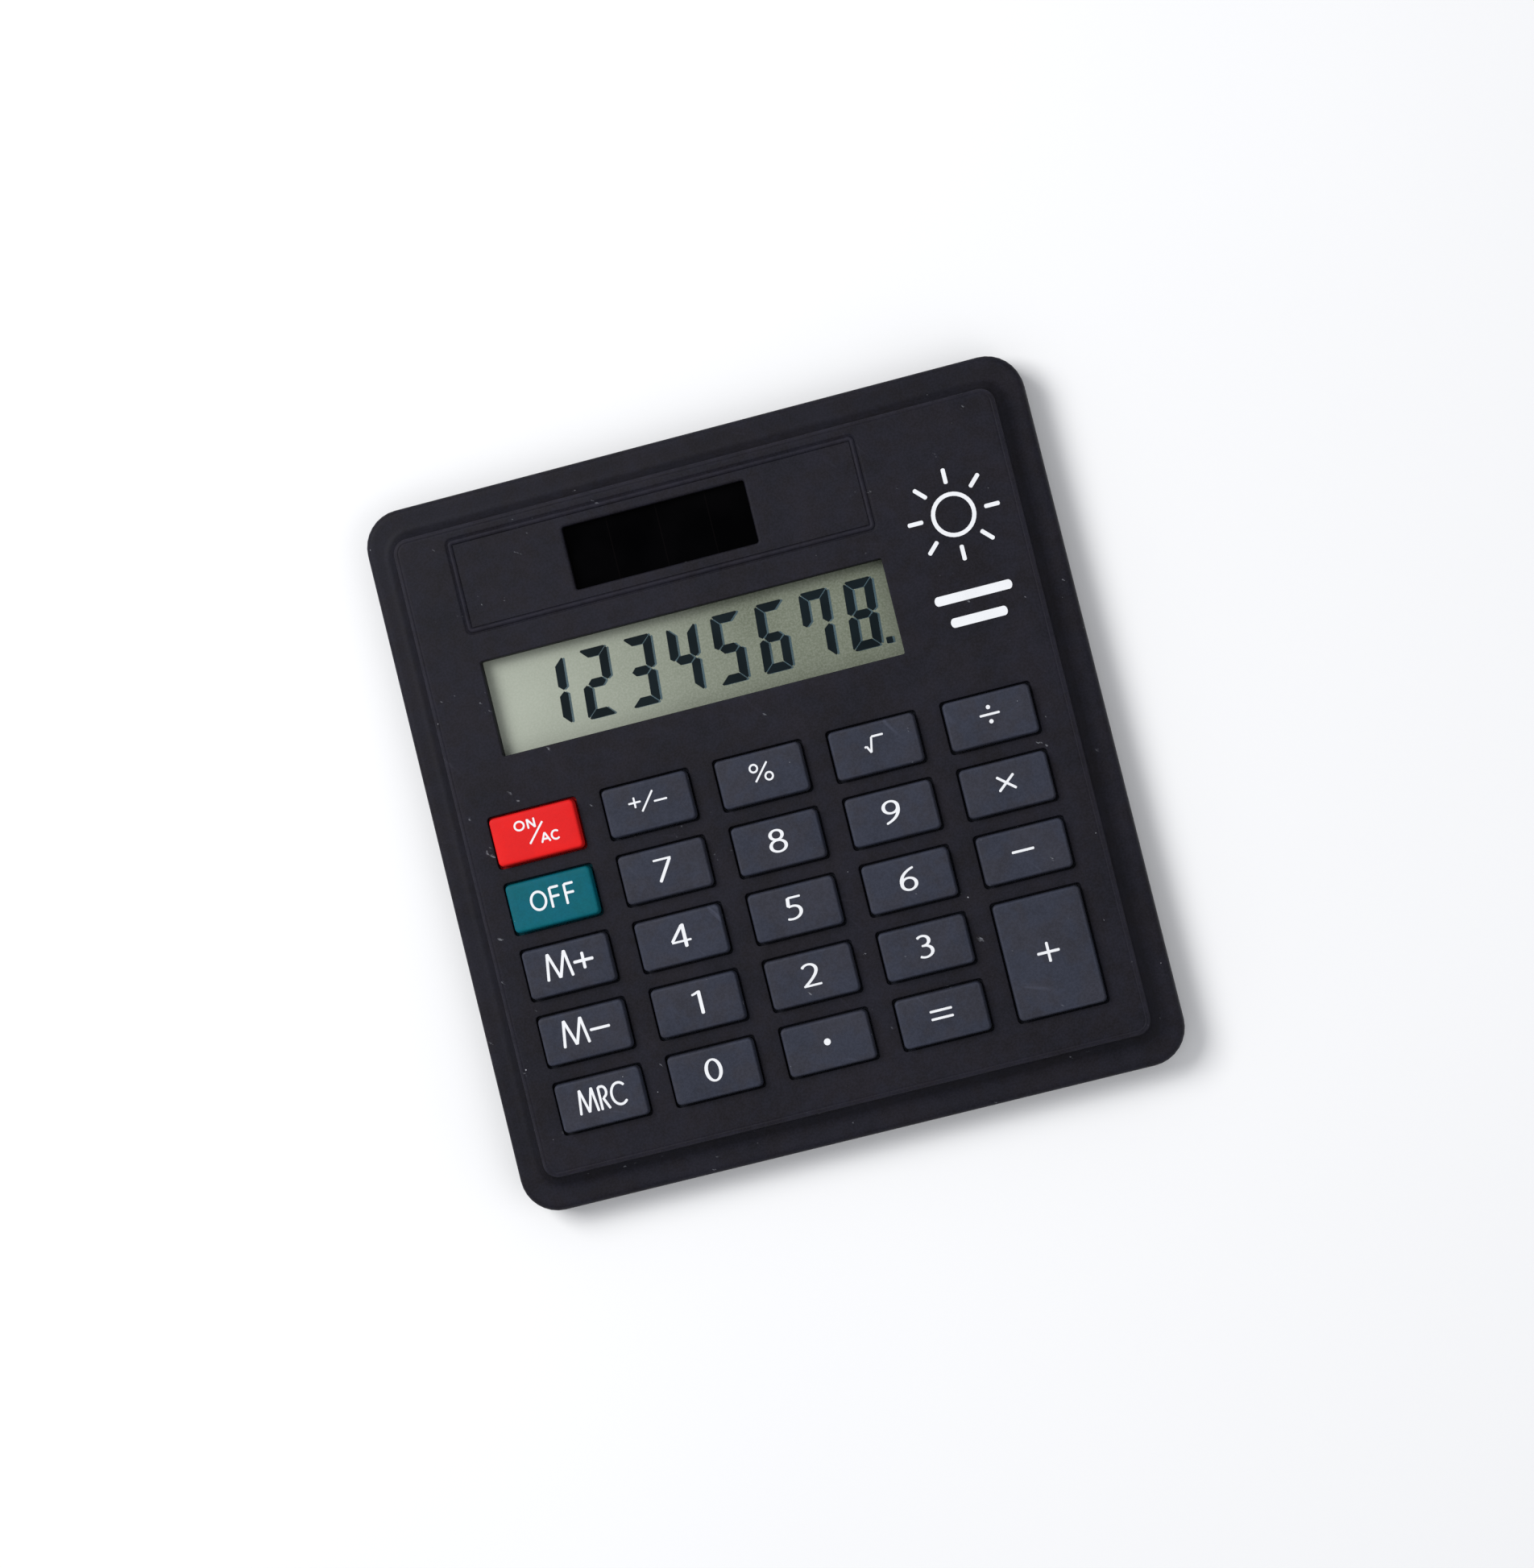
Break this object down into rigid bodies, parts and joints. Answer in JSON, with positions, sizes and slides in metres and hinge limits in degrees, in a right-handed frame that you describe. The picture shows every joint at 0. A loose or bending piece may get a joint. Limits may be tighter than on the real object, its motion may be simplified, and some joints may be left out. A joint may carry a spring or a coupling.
{
  "type": "pocket calculator",
  "caption": "Flat square pocket calculator with a raised panel, sprung keys on a rubber mat, a recessed numeric display and a solar cell.",
  "frame": {"origin": "centre of the case outline, on the surface that the rubber feet stand on", "axes": "+X to the right across the key columns, +Y from the key end to the display end, +Z out of the panel"},
  "size_m": [0.09, 0.0954, 0.0093],
  "materials": {
    "case_front": "fine spark-eroded texture, matte, near-black with a slight violet tint",
    "case_rear": "fine spark-eroded texture, matte",
    "key_slate": "satin moulded plastic, dark slate",
    "key_red": "satin moulded plastic, red",
    "key_teal": "satin moulded plastic, teal",
    "legend_print": "white pad-printed ink",
    "silicone_mat": "moulded silicone",
    "carbon": "carbon-filled silicone",
    "board_laminate": "lacquered laminate",
    "epoxy": "cured epoxy",
    "capacitor_sleeve": "shrunk sleeve",
    "display_face": "polariser film, satin",
    "display_segments": "darkened liquid crystal",
    "display_glass": "float glass",
    "display_reflector": "reflector film",
    "zebra_rubber": "layered conductive rubber",
    "foam": "closed-cell foam",
    "solar_glass": "amorphous silicon on glass, near-black",
    "lead_red": "insulated wire",
    "lead_black": "insulated wire",
    "cell_steel": "nickel-plated steel",
    "contact_metal": "nickel-plated spring strip",
    "screw_steel": "zinc-plated steel",
    "foot_rubber": "moulded rubber"
  },
  "bodies": {
    "case": {"front_cover": "case_front", "rear_cover": "case_rear", "rubber_keypad": "silicone_mat", "carbon_pills": "carbon", "circuit_board": "board_laminate", "chip_blob": "epoxy", "capacitor": "capacitor_sleeve", "display_front_polariser": "display_face", "display_front_glass": "display_glass", "display_rear_glass": "display_glass", "display_reflector": "display_reflector", "zebra_connector": "zebra_rubber", "display_foam_strip": "foam", "solar_cell": "solar_glass", "solar_lead_positive": "lead_red", "solar_lead_negative": "lead_black", "button_cell": "cell_steel", "contact_positive": "contact_metal", "contact_negative": "contact_metal", "case_screws": "screw_steel", "foot_front_left": "foot_rubber", "foot_front_right": "foot_rubber", "foot_rear_left": "foot_rubber", "foot_rear_right": "foot_rubber"},
    "key_on_ac": {"key_on_ac": "key_red"},
    "key_sign": {"key_sign": "key_slate"},
    "key_percent": {"key_percent": "key_slate"},
    "key_root": {"key_root": "key_slate"},
    "key_divide": {"key_divide": "key_slate"},
    "key_off": {"key_off": "key_teal"},
    "key_7": {"key_7": "key_slate"},
    "key_8": {"key_8": "key_slate"},
    "key_9": {"key_9": "key_slate"},
    "key_multiply": {"key_multiply": "key_slate"},
    "key_memory_plus": {"key_memory_plus": "key_slate"},
    "key_4": {"key_4": "key_slate"},
    "key_5": {"key_5": "key_slate"},
    "key_6": {"key_6": "key_slate"},
    "key_minus": {"key_minus": "key_slate"},
    "key_memory_minus": {"key_memory_minus": "key_slate"},
    "key_1": {"key_1": "key_slate"},
    "key_2": {"key_2": "key_slate"},
    "key_3": {"key_3": "key_slate"},
    "key_plus": {"key_plus": "key_slate"},
    "key_memory_recall": {"key_memory_recall": "key_slate"},
    "key_0": {"key_0": "key_slate"},
    "key_point": {"key_point": "key_slate"},
    "key_equals": {"key_equals": "key_slate"}
  },
  "joints": [
    {"name": "key_on_ac_press", "type": "slide", "parent": "case", "child": "key_on_ac", "axis": [0, 0, -1], "range_m": [0, 0.001], "stiffness_N_per_m": 600, "deforming": ["rubber_keypad"]},
    {"name": "key_sign_press", "type": "slide", "parent": "case", "child": "key_sign", "axis": [0, 0, -1], "range_m": [0, 0.001], "stiffness_N_per_m": 600, "deforming": ["rubber_keypad"]},
    {"name": "key_percent_press", "type": "slide", "parent": "case", "child": "key_percent", "axis": [0, 0, -1], "range_m": [0, 0.001], "stiffness_N_per_m": 600, "deforming": ["rubber_keypad"]},
    {"name": "key_root_press", "type": "slide", "parent": "case", "child": "key_root", "axis": [0, 0, -1], "range_m": [0, 0.001], "stiffness_N_per_m": 600, "deforming": ["rubber_keypad"]},
    {"name": "key_divide_press", "type": "slide", "parent": "case", "child": "key_divide", "axis": [0, 0, -1], "range_m": [0, 0.001], "stiffness_N_per_m": 600, "deforming": ["rubber_keypad"]},
    {"name": "key_off_press", "type": "slide", "parent": "case", "child": "key_off", "axis": [0, 0, -1], "range_m": [0, 0.001], "stiffness_N_per_m": 600, "deforming": ["rubber_keypad"]},
    {"name": "key_7_press", "type": "slide", "parent": "case", "child": "key_7", "axis": [0, 0, -1], "range_m": [0, 0.001], "stiffness_N_per_m": 600, "deforming": ["rubber_keypad"]},
    {"name": "key_8_press", "type": "slide", "parent": "case", "child": "key_8", "axis": [0, 0, -1], "range_m": [0, 0.001], "stiffness_N_per_m": 600, "deforming": ["rubber_keypad"]},
    {"name": "key_9_press", "type": "slide", "parent": "case", "child": "key_9", "axis": [0, 0, -1], "range_m": [0, 0.001], "stiffness_N_per_m": 600, "deforming": ["rubber_keypad"]},
    {"name": "key_multiply_press", "type": "slide", "parent": "case", "child": "key_multiply", "axis": [0, 0, -1], "range_m": [0, 0.001], "stiffness_N_per_m": 600, "deforming": ["rubber_keypad"]},
    {"name": "key_memory_plus_press", "type": "slide", "parent": "case", "child": "key_memory_plus", "axis": [0, 0, -1], "range_m": [0, 0.001], "stiffness_N_per_m": 600, "deforming": ["rubber_keypad"]},
    {"name": "key_4_press", "type": "slide", "parent": "case", "child": "key_4", "axis": [0, 0, -1], "range_m": [0, 0.001], "stiffness_N_per_m": 600, "deforming": ["rubber_keypad"]},
    {"name": "key_5_press", "type": "slide", "parent": "case", "child": "key_5", "axis": [0, 0, -1], "range_m": [0, 0.001], "stiffness_N_per_m": 600, "deforming": ["rubber_keypad"]},
    {"name": "key_6_press", "type": "slide", "parent": "case", "child": "key_6", "axis": [0, 0, -1], "range_m": [0, 0.001], "stiffness_N_per_m": 600, "deforming": ["rubber_keypad"]},
    {"name": "key_minus_press", "type": "slide", "parent": "case", "child": "key_minus", "axis": [0, 0, -1], "range_m": [0, 0.001], "stiffness_N_per_m": 600, "deforming": ["rubber_keypad"]},
    {"name": "key_memory_minus_press", "type": "slide", "parent": "case", "child": "key_memory_minus", "axis": [0, 0, -1], "range_m": [0, 0.001], "stiffness_N_per_m": 600, "deforming": ["rubber_keypad"]},
    {"name": "key_1_press", "type": "slide", "parent": "case", "child": "key_1", "axis": [0, 0, -1], "range_m": [0, 0.001], "stiffness_N_per_m": 600, "deforming": ["rubber_keypad"]},
    {"name": "key_2_press", "type": "slide", "parent": "case", "child": "key_2", "axis": [0, 0, -1], "range_m": [0, 0.001], "stiffness_N_per_m": 600, "deforming": ["rubber_keypad"]},
    {"name": "key_3_press", "type": "slide", "parent": "case", "child": "key_3", "axis": [0, 0, -1], "range_m": [0, 0.001], "stiffness_N_per_m": 600, "deforming": ["rubber_keypad"]},
    {"name": "key_plus_press", "type": "slide", "parent": "case", "child": "key_plus", "axis": [0, 0, -1], "range_m": [0, 0.001], "stiffness_N_per_m": 600, "deforming": ["rubber_keypad"]},
    {"name": "key_memory_recall_press", "type": "slide", "parent": "case", "child": "key_memory_recall", "axis": [0, 0, -1], "range_m": [0, 0.001], "stiffness_N_per_m": 600, "deforming": ["rubber_keypad"]},
    {"name": "key_0_press", "type": "slide", "parent": "case", "child": "key_0", "axis": [0, 0, -1], "range_m": [0, 0.001], "stiffness_N_per_m": 600, "deforming": ["rubber_keypad"]},
    {"name": "key_point_press", "type": "slide", "parent": "case", "child": "key_point", "axis": [0, 0, -1], "range_m": [0, 0.001], "stiffness_N_per_m": 600, "deforming": ["rubber_keypad"]},
    {"name": "key_equals_press", "type": "slide", "parent": "case", "child": "key_equals", "axis": [0, 0, -1], "range_m": [0, 0.001], "stiffness_N_per_m": 600, "deforming": ["rubber_keypad"]}
  ]
}
